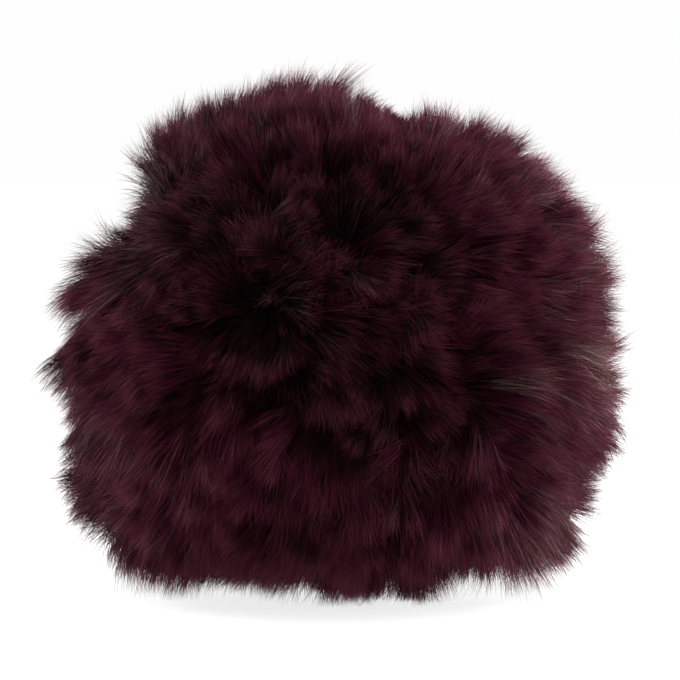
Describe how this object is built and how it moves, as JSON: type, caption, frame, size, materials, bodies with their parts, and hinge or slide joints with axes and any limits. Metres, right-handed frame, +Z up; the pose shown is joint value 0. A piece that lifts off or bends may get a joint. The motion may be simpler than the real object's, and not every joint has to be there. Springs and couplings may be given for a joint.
{
  "type": "furry microphone windscreen",
  "caption": "Ball-shaped microphone windscreen: a rigid two-part mesh basket with a rubber gland, inside a pull-off jacket of long dark burgundy fur.",
  "frame": {"origin": "middle of the flat patch of fur that the ball rests on", "axes": "+Z up, -Y along the microphone's axis towards the sound source, +Y towards the handle end, +X to the right seen from the front"},
  "size_m": [0.1455, 0.1327, 0.1351],
  "materials": {
    "fur": "long soft clumped pile, dark at the roots and paler at the tips",
    "hem_tape": "folded woven binding tape",
    "elastic_web": "ribbed elastic webbing",
    "cage_plastic": "fine satin moulded nylon",
    "rim_plastic": "spark-textured moulded plastic",
    "gauze": "fine plain-woven mesh",
    "gland_rubber": "soft matt rubber",
    "gasket_rubber": "matt rubber",
    "screw_steel": "plain steel screws"
  },
  "bodies": {
    "rear_basket": {"rear_rim": "rim_plastic", "rear_cage": "cage_plastic", "rear_gauze": "gauze", "rear_gauze_hoop": "rim_plastic", "joint_gasket": "gasket_rubber", "collar": "rim_plastic", "microphone_gland": "gland_rubber", "gland_plate": "rim_plastic", "plate_screw_1": "screw_steel", "plate_screw_2": "screw_steel", "plate_screw_3": "screw_steel", "plate_screw_4": "screw_steel"},
    "front_basket": {"front_cage": "cage_plastic", "front_gauze": "gauze", "front_gauze_hoop": "rim_plastic", "front_rim": "rim_plastic"},
    "jacket": {"fur_gore_top": "fur", "fur_gore_left": "fur", "fur_gore_bottom": "fur", "fur_gore_right": "fur", "fur_back_panel": "fur", "hem_binding": "hem_tape", "hem_elastic": "elastic_web"}
  },
  "joints": [
    {"name": "front_half_pull", "type": "slide", "parent": "rear_basket", "child": "front_basket", "axis": [0, -1, 0], "range_m": [0, 0.07], "deforming": ["fur_back_panel", "hem_binding", "hem_elastic"]},
    {"name": "jacket_pull", "type": "slide", "parent": "front_basket", "child": "jacket", "axis": [0, -1, 0], "range_m": [0, 0.13], "deforming": ["fur_back_panel", "hem_binding", "hem_elastic"]}
  ]
}
